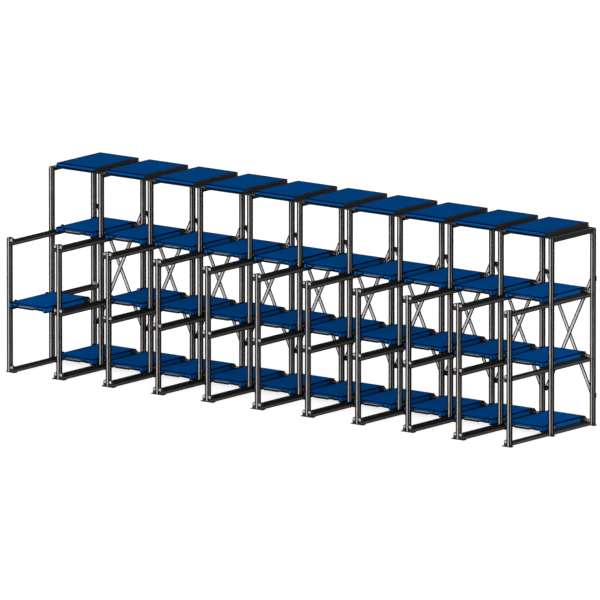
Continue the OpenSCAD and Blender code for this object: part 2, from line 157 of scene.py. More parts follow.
# finishes: colour, share of it in the darker mottling, roughness, grain, metal, shine
bracePaint = ((0.86, 0.81, 0.77), 0.92, (0.5, 0.65), 700.0, 0.0, 0.05)
finishes = {
    "postPaint": ((0.60, 0.56, 0.535), 0.94, (0.5, 0.65), 700.0, 0.0, 0.05),
    "railPaint": ((0.088, 0.080, 0.076), 0.9, (0.5, 0.65), 700.0, 0.0, 0.04),
    "blackPaint": ((0.024, 0.026, 0.028), 0.8, (0.5, 0.62), 800.0, 0.0, 0.03),
    # shelfBlue and trayBlue are the same blue paint set apart as painted light: shelfBlue darker for the
    # stronger light on the top shelves, trayBlue lighter against the shade under the shelves
    "shelfBlue": ((0.0005, 0.080, 0.320), 0.95, (0.5, 0.62), 900.0, 0.0, 0.0),
    "trayBlue": ((0.0005, 0.116, 0.455), 0.95, (0.5, 0.62), 900.0, 0.0, 0.0),
    "seamBlack": ((0.0015, 0.003, 0.006), 0.8, (0.6, 0.75), 900.0, 0.0, 0.0),
    "risingPaint": bracePaint,
    "fallingPaint": bracePaint,
    "castAlloy": ((0.58, 0.54, 0.52), 0.9, (0.45, 0.6), 420.0, 0.1, 0.15),
    "discPlastic": ((0.011, 0.0107, 0.0105), 0.8, (0.4, 0.55), 500.0, 0.0, 0.1),
    "rollerPlastic": ((0.006, 0.006, 0.006), 0.7, (0.35, 0.5), 500.0, 0.0, 0.1),
    "capPlastic": ((0.008, 0.008, 0.009), 0.8, (0.55, 0.7), 900.0, 0.0, 0.05),
    "tyreRubber": ((0.025, 0.026, 0.027), 0.8, (0.6, 0.8), 600.0, 0.0, 0.05),
    "wheelPlastic": ((0.010, 0.010, 0.011), 0.8, (0.45, 0.6), 600.0, 0.0, 0.05),
    "darkZinc": ((0.05, 0.05, 0.052), 0.75, (0.35, 0.5), 500.0, 0.4, 0.2),
    "gripSteel": ((0.34, 0.30, 0.27), 0.88, (0.35, 0.5), 450.0, 0.1, 0.2),
}
surface = {
    "mottle": 5.0, "mottleDetail": 4.0, "mottleRange": (0.35, 0.65),
    "streaks": 30.0, "streakDetail": 3.0, "streakStretch": (1.0, 1.0, 0.25), "streakRange": (0.3, 0.7),
    "grainDetail": 2.0, "bump": 0.12, "bumpDepth": 0.0004,
}
# seams on CAD pieces, and the painted shade that shares their mask: how dark, how far past the edge, and
# when a face counts as level or square to an axis
seamAndShadeLook = {"depth": 0.99, "past": 6.0, "level": 0.7, "square": 0.95}
seamAndShadeColour = finishes["seamBlack"][0]
# for each axis: repeat, start, distance of a pair from it, half size, then the seam's width on upright
# and on level faces
edgeLinesAndShade = {
    # on the posts' sides the seams cover all but a 5 mm streak: painted shade
    "postPaint": {"X": (grid["bay"], -1.5, 0, 15, 8.5, 0), "Y": (grid["row"], -3, 0, 20, 17.5, 0)},
    "railPaint": {"X": (grid["bay"], 0, 34.5, 19.5, 4, 4), "Z": (grid["level"], 17, 0, 17, 5.5, 5.5)},
    "shelfBlue": {
        "X": (grid["bay"], 315, 0, 244, 6, 18), "Y": (0, 349, 0, 357, 6, 22), "Z": (0, 2034, 0, 22, 11, 11),
    },
    "castAlloy": {
        "X": (grid["bay"], 0, 34.5, 19.5, 6, 6), "Z": (grid["level"], 52.5, 0, 18.5, 6, 6),
        # on the stops the sides, top and underside are dark all over as painted shade; front and back keep
        # the alloy colour
        "Y": (0, 0, 695.75, 14.25, 14.25, 14.25),
    },
}
lowerParts = {"castAlloy": (34.2, (0.045, 0.042, 0.040))}            # dark below that height of each level
brace = {"crossing": 898.0, "rise": 1188.0, "run": 566.0, "wide": 28.0, "line": 4.5}
braceAngle = math.atan2(brace["rise"], brace["run"])
braceWays = {"rising": 1, "falling": -1}


def boxLinesAndShade(tree, coords, axes):                   # 1 along the edges of boxes that repeat evenly, and over faces painted dark as shade
    place = splitAxes(tree, coords)
    geometry = tree.nodes.new("ShaderNodeNewGeometry")
    normal = splitAxes(tree, geometry.outputs["True Normal"])
    level = addMath(tree, "GREATER_THAN", addMath(tree, "ABSOLUTE", normal["Z"]), seamAndShadeLook["level"])
    total = None
    for axis, (step, start, centre, half, line, levelLine) in axes.items():
        value = addMath(tree, "SUBTRACT", place[axis], start * mm)
        if step:
            value = wrapRound(tree, value, step)
        value = addMath(tree, "ABSOLUTE", value)
        if centre:                                  # one on each side of the start
            value = addMath(tree, "ABSOLUTE", addMath(tree, "SUBTRACT", value, centre * mm))
        width = mapRange(tree, level, 0.0, 1.0, line * mm, levelLine * mm)
        near = addMath(tree, "GREATER_THAN", addMath(tree, "ADD", value, width), half * mm)
        inside = addMath(tree, "LESS_THAN", value, (half + seamAndShadeLook["past"]) * mm)
        across = addMath(tree, "LESS_THAN", addMath(tree, "ABSOLUTE", normal[axis]), seamAndShadeLook["square"])
        mask = addMath(tree, "MULTIPLY", addMath(tree, "MULTIPLY", near, inside), across)
        total = mask if total is None else addMath(tree, "MAXIMUM", total, mask)
    return total


def slopeLines(tree, coords, way):                  # 1 along the long edges of the diagonal bars
    place = splitAxes(tree, coords)
    along = addMath(tree, "SUBTRACT", place["X"], grid["bay"] / 2 * mm)
    along = wrapRound(tree, along, grid["bay"])
    up = addMath(tree, "SUBTRACT", place["Z"], brace["crossing"] * mm)
    aside = addMath(tree, "MULTIPLY", up, -math.cos(braceAngle) * way)
    aside = addMath(tree, "ABSOLUTE", addMath(tree, "MULTIPLY_ADD", along, math.sin(braceAngle), aside))
    return addMath(tree, "GREATER_THAN", aside, (brace["wide"] / 2 - brace["line"]) * mm)


def belowHeight(tree, coords, top):                 # 1 on the part of each level's pieces below that height
    value = addMath(tree, "SUBTRACT", splitAxes(tree, coords)["Z"], top * mm)
    return addMath(tree, "LESS_THAN", wrapRound(tree, value, grid["level"]), 0.0)


def addFinish(name, colour, tone, rough, grain, metal, shine):
    material, tree, shader, coords = startMaterial(name)
    mottle = addNoise(tree, coords, surface["mottle"], surface["mottleDetail"])
    mottle = mapRange(tree, mottle, *surface["mottleRange"], 0.0, 1.0)
    body = mixColour(tree, mottle, colour, tuple(channel * tone for channel in colour))
    linesAndShade = None
    way = braceWays.get(name.replace("Paint", ""))
    if name in edgeLinesAndShade:
        linesAndShade = boxLinesAndShade(tree, coords, edgeLinesAndShade[name])
    elif way:
        linesAndShade = slopeLines(tree, coords, way)
    if linesAndShade is not None:                           # dark seams along the edges, and painted shade over the posts' and stops' sides
        body = mixColour(tree, addMath(tree, "MULTIPLY", linesAndShade, seamAndShadeLook["depth"]), body, seamAndShadeColour)
    if name in lowerParts:
        top, lowColour = lowerParts[name]
        body = mixColour(tree, belowHeight(tree, coords, top), body, lowColour)
    tree.links.new(body, shader.inputs["Base Color"])
    streaks = addNoise(tree, coords, surface["streaks"], surface["streakDetail"], surface["streakStretch"])
    streaks = mapRange(tree, streaks, *surface["streakRange"], *rough)
    tree.links.new(streaks, shader.inputs["Roughness"])
    shader.inputs["Metallic"].default_value = metal
    shader.inputs["Specular IOR Level"].default_value = shine
    height = addNoise(tree, coords, grain, surface["grainDetail"])
    addBump(tree, shader, height, surface["bump"], surface["bumpDepth"])
    return material


paints = {name: addFinish(name, *spec) for name, spec in finishes.items()}

nodeFinishes = {
    "postPaint": ["front_posts", "middle_posts", "rear_posts"],
    "railPaint": ["lower_rails", "middle_rails", "upper_rails"],
    "rollerPlastic": ["lower_roller_strips", "middle_roller_strips", "upper_roller_strips"],
    "castAlloy": ["front_rail_stops", "rear_rail_stops"],
    "capPlastic": ["front_post_caps", "front_foot_plates", "middle_foot_plates", "rear_foot_plates"],
    "blackPaint": [
        "top_side_beams", "front_cross_bars", "rear_cross_bars", "shelf_edge_strips", "brace_plates",
    ],
    "darkZinc": ["rail_bolts", "brace_bolts", "shelf_clips"],
    "shelfBlue": ["top_shelves"],
    "risingPaint": ["rising_braces"],
    "fallingPaint": ["falling_braces"],
}
for paintName, names in nodeFinishes.items():
    for node in names:
        nodes[node].data.materials.clear()
        nodes[node].data.materials.append(paints[paintName])
print("finishes:", len(paints))


# modelling helpers: places in millimetres, in the rack's own frame
modelling = {
    "facing": 0.5,                                  # share along an axis from which a face counts
    "bevelAngle": 40.0, "smoothAngle": 35.0,        # degrees
}


def objectMode():
    bpy.ops.object.mode_set(mode="OBJECT")


def editMode():
    bpy.ops.object.mode_set(mode="EDIT")


def deselectAll():
    if bpy.context.object and bpy.context.object.mode != "OBJECT":
        objectMode()
    bpy.ops.object.select_all(action="DESELECT")


def applyPlace():
    bpy.ops.object.transform_apply(location=True, rotation=True, scale=True)


def startBlock(low, high):
    deselectAll()
    centre = [(a + b) / 2 * mm for a, b in zip(low, high)]
    bpy.ops.mesh.primitive_cube_add(size=1, location=centre)
    piece = bpy.context.object
    piece.scale = [(b - a) * mm for a, b in zip(low, high)]
    applyPlace()
    return piece


def startRod(radius, x0, x1, y, z, sides):          # a round along X
    deselectAll()
    bpy.ops.mesh.primitive_cylinder_add(
        vertices=sides, radius=radius * mm, depth=(x1 - x0) * mm,
        location=((x0 + x1) / 2 * mm, y * mm, z * mm), rotation=(0, math.pi / 2, 0),
    )
    applyPlace()
    return bpy.context.object


def selectMesh(action):
    editMode()
    bpy.ops.mesh.select_mode(type="FACE")
    bpy.ops.mesh.select_all(action=action)


def pickFaces(piece, test):                         # leaves edit mode on, with only those faces selected
    selectMesh("DESELECT")
    objectMode()
    for face in piece.data.polygons:
        face.select = test(face.center / mm, face.normal)
    editMode()


def facing(x=0, y=0, z=0, below=None):              # a test for the faces that look that way
    way = Vector((x, y, z))
    return lambda c, n: n.dot(way) > modelling["facing"] and (below is None or c.z < below)


def eitherWay(axis):                                # and for those that look either way along an axis
    return lambda c, n: abs(n["xyz".index(axis)]) > modelling["facing"]


def pullFaces(x, y, z):
    bpy.ops.mesh.extrude_region_move(TRANSFORM_OT_translate={"value": (x * mm, y * mm, z * mm)})


def insetFaces(width, each=False):
    bpy.ops.mesh.inset(thickness=width * mm, depth=0, use_individual=each)


def cutAt(point, normal):
    selectMesh("SELECT")
    bpy.ops.mesh.bisect(plane_co=[v * mm for v in point], plane_no=normal)
    objectMode()


def foldEdge(piece, low, x, y):                     # the edge below that height, folded to one side
    cutAt((0, 0, low), (0, 0, 1))
    way = Vector((x, y, 0)).normalized()
    pickFaces(piece, facing(way.x, way.y, below=low))
    pullFaces(x, y, 0)


def paintPicked(piece, index):
    objectMode()
    for face in piece.data.polygons:
        if face.select:
            face.material_index = index


def seamFaces(piece, test, width):                  # a dark seam round each face, or all over it at width 0
    pickFaces(piece, test)
    paintPicked(piece, 1)
    if width:
        editMode()
        insetFaces(width, each=True)
        paintPicked(piece, 0)


def softenEdges(piece, width, segments=2):
    objectMode()
    bevel = piece.modifiers.new("softEdges", "BEVEL")
    bevel.width = width * mm
    bevel.segments = segments
    bevel.limit_method = "ANGLE"
    bevel.angle_limit = math.radians(modelling["bevelAngle"])
    bpy.ops.object.modifier_apply(modifier=bevel.name)
    bpy.ops.object.shade_smooth_by_angle(angle=math.radians(modelling["smoothAngle"]))


def wear(piece, *names):
    piece.data.materials.clear()
    for name in names:
        piece.data.materials.append(paints[name])


def joinPieces(name, parts):
    deselectAll()
    for part in parts:
        part.select_set(True)
    bpy.context.view_layer.objects.active = parts[0]
    bpy.ops.object.join()
    joined = bpy.context.object
    joined.name = joined.data.name = name
    return joined


def copyAlong(piece, count, x, y):                  # evenly repeated along the bays or along a track
    repeat = piece.modifiers.new("repeat", "ARRAY")
    repeat.count = count
    repeat.use_relative_offset = False
    repeat.use_constant_offset = True
    repeat.constant_offset_displace = (x * mm, y * mm, 0)
    bpy.context.view_layer.objects.active = piece
    bpy.ops.object.modifier_apply(modifier=repeat.name)


def copyPiece(source, name, shift, body):
    piece = source.copy()
    piece.data = source.data.copy()
    piece.name = piece.data.name = name
    for vertex in piece.data.vertices:
        vertex.co += shift
    bpy.context.scene.collection.objects.link(piece)
    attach(piece, body)
    return piece


def bothSides(build):                               # builds the +X part and the same on the other side
    return [build(lambda x, side=side: middle + side * x) for side in (1, -1)]


def outwardOf(at):                                  # the way out from the bay's middle on that side
    return 1 if at(1) > at(0) else -1


def span(a, b):
    return min(a, b), max(a, b)


# one tray, modelled at the first bay's lower level and copied to the others
tray = {
    "middle": -2835.0, "base": 8.0,                 # the bay's middle and the rail's underside
    "half": 235.0, "front": -38.0, "rear": 680.0,
    "deckTop": 82.5, "deckThick": 4.0, "sheet": 3.0, "hairline": 0.1,
    "padEdge": 60.0, "padThick": 1.5,               # stiffening pad under the deck
    "cornerWide": 35.0, "cornerDeep": 110.0, "cornerTall": 48.0,
    "skirtWide": 60.0, "skirtTall": 28.0, "recessDeep": 30.0, "recessTall": 38.0,
    "sideBottom": 28.5, "lip": 14.0, "lipRoom": 4.0, "seam": 6.0, "deckSeam": 20.0,
    "ribPlaces": (249.2, 464.6), "ribTall": 30.0, "ribThick": 4.0, "ribFoot": 16.0,
    "deckSoft": 1.2, "cornerSoft": 1.5, "sheetSoft": 1.0,
}

middle = tray["middle"]
deckTop = tray["base"] + tray["deckTop"]
underDeck = deckTop - tray["deckThick"] - tray["hairline"]
cornerBottom = underDeck - tray["cornerTall"]
skirtBottom = underDeck - tray["skirtTall"]
recessHalf = tray["half"] - tray["cornerWide"] - tray["hairline"] - tray["skirtWide"]
recessFront = tray["front"] + tray["recessDeep"]
recessBottom = underDeck - tray["recessTall"]
sideFront = tray["front"] + tray["cornerDeep"] + tray["hairline"]
sideRear = tray["rear"] - tray["sheet"] - tray["hairline"]
sideBottom = tray["base"] + tray["sideBottom"]


def startSheet(low, high):                          # blue, with the seams' black as its second finish
    sheet = startBlock(low, high)
    wear(sheet, "trayBlue", "seamBlack")
    return sheet


def buildDeck():
    deck = startSheet(
        (middle - tray["half"], tray["front"], deckTop - tray["deckThick"]),
        (middle + tray["half"], tray["rear"], deckTop),
    )
    level = eitherWay("z")
    seamFaces(deck, facing(z=1), tray["deckSeam"])
    seamFaces(deck, lambda c, n: not level(c, n), 0)
    pickFaces(deck, facing(z=-1))
    insetFaces(tray["padEdge"])
    pullFaces(0, 0, -tray["padThick"])
    softenEdges(deck, tray["deckSoft"])
    return deck


def buildCornerBox(at):
    x0, x1 = span(at(tray["half"] - tray["cornerWide"]), at(tray["half"]))
    box = startSheet((x0, tray["front"], cornerBottom), (x1, tray["front"] + tray["cornerDeep"], underDeck))
    front, sides = facing(y=-1), eitherWay("x")
    seamFaces(box, lambda c, n: front(c, n) or sides(c, n), tray["seam"])
    pickFaces(box, facing(z=-1))                    # folded box, open below
    insetFaces(tray["sheet"])
    pullFaces(0, 0, tray["cornerTall"] - tray["sheet"])
    softenEdges(box, tray["cornerSoft"])
    return box


def buildSkirt(at):
    x0, x1 = span(at(recessHalf), at(recessHalf + tray["skirtWide"]))
    skirt = startSheet((x0, tray["front"], skirtBottom), (x1, tray["front"] + tray["sheet"], underDeck))
    seamFaces(skirt, facing(y=-1), tray["seam"])
    fold = at(recessHalf + tray["sheet"])           # the skirt turns in towards the recess wall
    foldMiddle = (fold + at(recessHalf)) / 2
    cutAt((fold, 0, 0), (1, 0, 0))
    back = facing(y=1)
    pickFaces(skirt, lambda c, n: back(c, n) and abs(c.x - foldMiddle) < tray["sheet"])
    pullFaces(0, tray["recessDeep"] - tray["sheet"] - tray["hairline"], 0)
    softenEdges(skirt, tray["sheetSoft"])
    return skirt


def buildRecessWall():
    wall = startSheet(
        (middle - recessHalf, recessFront, recessBottom),
        (middle + recessHalf, recessFront + tray["sheet"], underDeck),
    )
    seamFaces(wall, facing(y=-1), tray["seam"])
    foldEdge(wall, recessBottom + tray["sheet"], 0, tray["lip"])
    softenEdges(wall, tray["sheetSoft"])
    return wall


def buildRearSkirt():
    skirt = startSheet(
        (middle - tray["half"], tray["rear"] - tray["sheet"], cornerBottom),
        (middle + tray["half"], tray["rear"], underDeck),
    )
    seamFaces(skirt, facing(y=1), tray["seam"])
    low = cornerBottom + tray["sheet"]
    inner = tray["half"] - bracket["thick"] - tray["lipRoom"]
    cutAt((0, 0, low), (0, 0, 1))
    for side in (-1, 1):
        cutAt((middle + side * inner, 0, 0), (1, 0, 0))
    inside = facing(y=-1, below=low)
    pickFaces(skirt, lambda c, n: inside(c, n) and abs(c.x - middle) < inner)
    pullFaces(0, -tray["lip"], 0)                   # lip between the brackets
    softenEdges(skirt, tray["sheetSoft"])
    return skirt


def buildSideSheet(at):
    outward = outwardOf(at)
    y0 = sideFront + bracket["long"] + tray["hairline"]
    y1 = sideRear - bracket["long"] - tray["hairline"]
    x0, x1 = span(at(tray["half"] - tray["sheet"]), at(tray["half"]))
    sheet = startSheet((x0, y0, sideBottom), (x1, y1, underDeck))
    seamFaces(sheet, facing(x=outward), tray["seam"])
    foldEdge(sheet, sideBottom + tray["sheet"], -outward * tray["lip"], 0)
    softenEdges(sheet, tray["sheetSoft"])
    return sheet


def buildRib(y):
    half = tray["half"] - tray["sheet"] - tray["hairline"]
    bottom = underDeck - tray["ribTall"]
    rib = startSheet((middle - half, y, bottom), (middle + half, y + tray["ribThick"], underDeck))
    foldEdge(rib, bottom + tray["ribThick"], 0, tray["ribFoot"])
    softenEdges(rib, tray["sheetSoft"])
    return rib


def buildPan():
    parts = [buildDeck(), buildRecessWall(), buildRearSkirt()]
    parts += [buildRib(y) for y in tray["ribPlaces"]]
    for build in (buildCornerBox, buildSkirt, buildSideSheet):
        parts += bothSides(build)
    return joinPieces("trayPan", parts)


# wheel brackets with their bolts, and the dark strips and feet along the tray's lower edges
bracket = {
    "long": 80.0, "thick": 8.0, "soft": 1.5, "pocketEdge": 9.0, "pocket": 3.0,
    "boltRadius": 6.5, "boltTall": 4.0, "boltIn": 13.0, "boltSides": 6, "crownEdge": 1.5, "crown": 0.8,
}
hem = {
    "out": 1.2, "sideTall": 5.0, "sideDrop": 11.0, "skirtTall": 1.0, "skirtDrop": 14.0,
    "wallTall": 1.5, "wallDrop": 9.0, "bandEdge": 1.6, "band": 0.5, "soft": 0.4, "wallSoft": 0.5,
    "footTall": 1.5, "footDrop": 8.0, "footEdge": 5.0, "footSunk": 2.0, "footSoft": 0.8,
}


def buildBoltHead(at, y):
    outward = outwardOf(at)
    x0, x1 = span(at(tray["half"]), at(tray["half"] + bracket["boltTall"]))
    head = startRod(bracket["boltRadius"], x0, x1, y, underDeck - bracket["boltIn"], bracket["boltSides"])
    pickFaces(head, facing(x=outward))
    insetFaces(bracket["crownEdge"])
    pullFaces(outward * bracket["crown"], 0, 0)
    objectMode()
    wear(head, "darkZinc")
    return head


def buildBracket(at, y0):
    outward = outwardOf(at)
    y1 = y0 + bracket["long"]
    x0, x1 = span(at(tray["half"] - bracket["thick"]), at(tray["half"]))
    plate = startBlock((x0, y0, cornerBottom), (x1, y1, underDeck))
    pickFaces(plate, facing(x=-outward))            # pocket on the inner face
    insetFaces(bracket["pocketEdge"])
    pullFaces(outward * bracket["pocket"], 0, 0)
    softenEdges(plate, bracket["soft"])
    wear(plate, "blackPaint")
    return [plate] + [buildBoltHead(at, y) for y in (y0 + bracket["boltIn"], y1 - bracket["boltIn"])]


def finishHem(strip, x, y):                         # a raised band on the outer face
    pickFaces(strip, facing(x, y))
    insetFaces(hem["bandEdge"])
    pullFaces(x * hem["band"], y * hem["band"], 0)
    softenEdges(strip, hem["soft"], 1)
    wear(strip, "capPlastic")
    return strip


def buildSideHem(at):                               # dark guard strip pressed over the side's lower edge
    x0, x1 = span(at(tray["half"] - tray["sheet"]), at(tray["half"] + hem["out"]))
    strip = startBlock(
        (x0, sideFront, sideBottom - hem["sideDrop"]),
        (x1, sideRear, sideBottom + hem["sideTall"]),
    )
    return finishHem(strip, outwardOf(at), 0)


def buildSkirtHem(at):                              # the same strip under the front skirts
    x0, x1 = span(at(recessHalf), at(recessHalf + tray["skirtWide"]))
    strip = startBlock(
        (x0, tray["front"] - hem["out"], skirtBottom - hem["skirtDrop"]),
        (x1, tray["front"] + tray["sheet"], skirtBottom + hem["skirtTall"]),
    )
    return finishHem(strip, 0, -1)


def buildWallHem():                                 # and a plain one under the recess wall
    strip = startBlock(
        (middle - recessHalf, recessFront - hem["out"], recessBottom - hem["wallDrop"]),
        (middle + recessHalf, recessFront + tray["sheet"], recessBottom + hem["wallTall"]),
    )
    softenEdges(strip, hem["wallSoft"])
    wear(strip, "capPlastic")
    return strip


def buildCornerFoot(at):                            # rubber foot that closes a corner box
    x0, x1 = span(at(tray["half"] - tray["cornerWide"]), at(tray["half"] + hem["out"]))
    foot = startBlock(
        (x0, tray["front"] - hem["out"], cornerBottom - hem["footDrop"]),
        (x1, tray["front"] + tray["cornerDeep"], cornerBottom + hem["footTall"]),
    )
    pickFaces(foot, facing(z=-1))
    insetFaces(hem["footEdge"])
    pullFaces(0, 0, hem["footSunk"])
    softenEdges(foot, hem["footSoft"], 1)
    wear(foot, "capPlastic")
    return foot


def buildBrackets():
    parts = [buildWallHem()]
    for build in (buildSideHem, buildSkirtHem, buildCornerFoot):
        parts += bothSides(build)
    for y0 in (sideFront, sideRear - bracket["long"]):
        for group in bothSides(lambda at: buildBracket(at, y0)):
            parts += group
    return joinPieces("trayBrackets", parts)


# four wheels on axles with collars, two on each side
wheel = {
    "places": (112.0, 624.0), "out": 32.0, "bottom": 33.5, "radius": 25.0, "wide": 16.0, "sides": 32,
    "wall": 6.0, "sunk": 3.0, "hub": 10.5, "soft": 1.3, "flat": 0.8, "rimEdge": 0.5,
    "axle": 6.0, "axleEnd": 3.2, "axleSoft": 0.8, "collar": 11.0, "collarSides": 20, "play": 0.2,
}
wheelHeight = tray["base"] + wheel["bottom"] + wheel["radius"]


def offAxle(place, y):
    return math.hypot(place.y - y, place.z - wheelHeight)


def buildWheel(at, y):
    centre = at(tray["half"] + wheel["out"])
    x0, x1 = centre - wheel["wide"] / 2, centre + wheel["wide"] / 2
    disc = startRod(wheel["radius"], x0, x1, y, wheelHeight, wheel["sides"])
    pickFaces(disc, eitherWay("x"))
    insetFaces(wheel["wall"])
    objectMode()
    web = wheel["radius"] - wheel["wall"]
    for side in (-1, 1):                            # web sunk between tyre and hub
        flat = facing(x=side)
        pickFaces(disc, lambda c, n: flat(c, n) and offAxle(c, y) < wheel["axle"])
        pullFaces(-side * wheel["sunk"], 0, 0)
        insetFaces(web - wheel["hub"])
        pullFaces(side * wheel["sunk"], 0, 0)
        objectMode()
    softenEdges(disc, wheel["soft"])
    wear(disc, "tyreRubber", "wheelPlastic", "gripSteel")
    for face in disc.data.polygons:
        away = offAxle(face.center / mm, y)
        level = abs(face.normal.x) > wheel["flat"]
        face.material_index = 1 if level or away < web - wheel["rimEdge"] else 0
        if level and away < wheel["hub"]:
            face.material_index = 2
    return disc


def buildAxle(at, y):
    outward = outwardOf(at)
    wheelIn = tray["half"] + wheel["out"] - wheel["wide"] / 2
    x0, x1 = span(at(tray["half"] + tray["hairline"]), at(wheelIn - wheel["play"]))
    rod = startRod(wheel["collar"], x0, x1, y, wheelHeight, wheel["collarSides"])
    pickFaces(rod, facing(x=outward))
    insetFaces(wheel["collar"] - wheel["axle"])
    pullFaces(outward * (wheel["wide"] + 2 * wheel["play"]), 0, 0)
    pullFaces(outward * wheel["axleEnd"], 0, 0)
    softenEdges(rod, wheel["axleSoft"])
    wear(rod, "darkZinc", "gripSteel")
    wheelOut = at(wheelIn + wheel["wide"])
    for face in rod.data.polygons:                  # bright end outside the wheel
        face.material_index = 1 if (face.center.x / mm - wheelOut) * outward > 0 else 0
    return rod


def buildWheels():
    parts = []
    for y in wheel["places"]:
        parts += bothSides(lambda at: buildWheel(at, y))
        parts += bothSides(lambda at: buildAxle(at, y))
    return joinPieces("trayWheels", parts)


# a bent bar in front of the recess, with a dark pad under it that is also the grip's painted shadow, and a
# washer at each end
handle = {
    "half": 94.0, "flare": 26.0, "out": 24.0, "drop": 24.0, "radius": 7.0, "rounding": 4,
    "bend": 14.0, "bendSteps": 6, "legEnd": 3.0,
    "padDrop": 19.0, "padTall": 2.5, "padWide": 15.5, "padSoft": 3.0, "padRounding": 3,
    "washer": 12.0, "washerThick": 2.4, "washerSides": 20, "washerSoft": 0.6,
}
gripFront = tray["front"] - handle["out"]
gripHeight = deckTop - handle["drop"]
handleRoot = handle["half"] + handle["flare"]
handleWall = recessFront - tray["hairline"]


def handlePath():
    corner = Vector((handle["half"], gripFront, gripHeight))
    root = Vector((handleRoot, handleWall, gripHeight))
    bendStart = corner + (root - corner).normalized() * handle["bend"]
    bendEnd = corner - Vector((handle["bend"], 0, 0))
    half = [root]
    for k in range(handle["bendSteps"] + 1):        # rounded bend between leg and grip
        t = k / handle["bendSteps"]
        half.append((1 - t) ** 2 * bendStart + 2 * t * (1 - t) * corner + t * t * bendEnd)
    return half + [Vector((-p.x, p.y, p.z)) for p in reversed(half)]


def buildGrip():
    path = handlePath()
    deselectAll()
    bpy.ops.curve.primitive_nurbs_path_add()
    curve = bpy.context.object
    curve.data.splines.clear()
    spline = curve.data.splines.new("POLY")
    spline.points.add(len(path) - 1)
    for point, place in zip(spline.points, path):
        point.co = ((middle + place.x) * mm, place.y * mm, place.z * mm, 1)
    curve.data.bevel_depth = handle["radius"] * mm
    curve.data.bevel_resolution = handle["rounding"]
    curve.data.use_fill_caps = True
    bpy.ops.object.convert(target="MESH")
    bar = bpy.context.object
    bpy.ops.object.shade_smooth()
    wear(bar, "gripSteel", "darkZinc")
    for face in bar.data.polygons:                  # legs in dark zinc as painted shade at the bends, bright grip
        aside = abs(face.center.x / mm - middle)
        face.material_index = 1 if aside > handle["half"] - handle["legEnd"] else 0
    return bar


def buildShadowPad():                               # dark rubber pad under the grip, which also serves as the grip's painted shadow
    pad = startBlock(
        (middle - handle["half"], gripFront - handle["padWide"] / 2, gripHeight - handle["padDrop"]),
        (middle + handle["half"], gripFront + handle["padWide"] / 2, gripHeight + handle["padTall"]),
    )
    softenEdges(pad, handle["padSoft"], handle["padRounding"])
    wear(pad, "capPlastic")
    return pad


def buildWasher(side):                              # where the bar meets the recess wall
    deselectAll()
    place = (middle + side * handleRoot, handleWall - handle["washerThick"] / 2, gripHeight)
    bpy.ops.mesh.primitive_cylinder_add(
        vertices=handle["washerSides"], radius=handle["washer"] * mm, depth=handle["washerThick"] * mm,
        location=[v * mm for v in place], rotation=(math.pi / 2, 0, 0),
    )
    applyPlace()
    washer = bpy.context.object
    softenEdges(washer, handle["washerSoft"])
    wear(washer, "darkZinc")
    return washer


def buildHandle():
    return joinPieces("trayHandle", [buildGrip(), buildShadowPad(), buildWasher(-1), buildWasher(1)])


def dressTrays():
    models = [
        (buildPan(), "tray_blue"), (buildBrackets(), "frame_black"),
        (buildWheels(), "roller_black"), (buildHandle(), "stop_grey"),
    ]
    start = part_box("tray_01_lower")[0]
    trayNodes = sorted(name for name in nodes if name.startswith("tray_"))
    for node in trayNodes:
        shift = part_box(node)[0] - start
        label = node.replace("tray_", "").title().replace("_", "")
        for model, slotName in models:
            piece = copyPiece(model, model.name + label, shift, node)
            if model.name == "trayPan":
                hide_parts(node)
    for model, slotName in models:
        bpy.data.objects.remove(model)
    print("tray pieces:", len(trayNodes) * len(models))


dressTrays()


# guide discs beside each roller track, and a wear strip under its channel
track = {
    "outer": 300.0, "wide": 39.0,                   # outer wall, from the bay's middle
    "discs": 41, "pitch": 32.0, "firstDisc": -656.0, "rows": (2.8, 7.0), "discWide": 3.8,
    "radius": 11.0, "sides": 10, "hub": 5.5, "centre": 34.5,          # from the channel's underside
    "barLow": 22.5, "barTop": 30.0, "barSoft": 1.5,
    "shortTall": 7.5, "longTall": 10.0, "endRoom": 48.0, "plateRoom": 1.0,
    "grooveEdge": 6.0, "groove": 2.0, "stripSoft": 0.8,
}


def buildDiscRow(at, row):
    outer = track["outer"] - track["rows"][row]
    x0, x1 = span(at(outer), at(outer - track["discWide"]))
    y = track["firstDisc"] + row * track["pitch"] / 2                 # the rows stand in each other's gaps
    disc = startRod(track["radius"], x0, x1, y, tray["base"] + track["centre"], track["sides"])
    wear(disc, "rollerPlastic", "discPlastic")
    pickFaces(disc, eitherWay("x"))
    insetFaces(track["radius"] - track["hub"])
    paintPicked(disc, 1)
    copyAlong(disc, track["discs"] - row, 0, track["pitch"])
    return disc


def buildGuide(at):
    low, high = (corner.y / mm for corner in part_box("lower_roller_strips"))
    near, far = track["rows"][0], track["rows"][-1] + track["discWide"]
    x0, x1 = span(at(track["outer"] - near), at(track["outer"] - far))
    bar = startBlock((x0, low, tray["base"] + track["barLow"]), (x1, high, tray["base"] + track["barTop"]))
    softenEdges(bar, track["barSoft"])
    wear(bar, "rollerPlastic")
    return [bar] + [buildDiscRow(at, row) for row in range(len(track["rows"]))]


def buildStrip(at, y0, y1, tall):
    x0, x1 = span(at(track["outer"]), at(track["outer"] - track["wide"]))
    strip = startBlock((x0, y0, tray["base"] - tall), (x1, y1, tray["base"]))
    pickFaces(strip, facing(z=-1))                  # groove along the underside
    insetFaces(track["grooveEdge"])
    pullFaces(0, 0, track["groove"])
    softenEdges(strip, track["stripSoft"], 1)
    wear(strip, "capPlastic")
    return strip


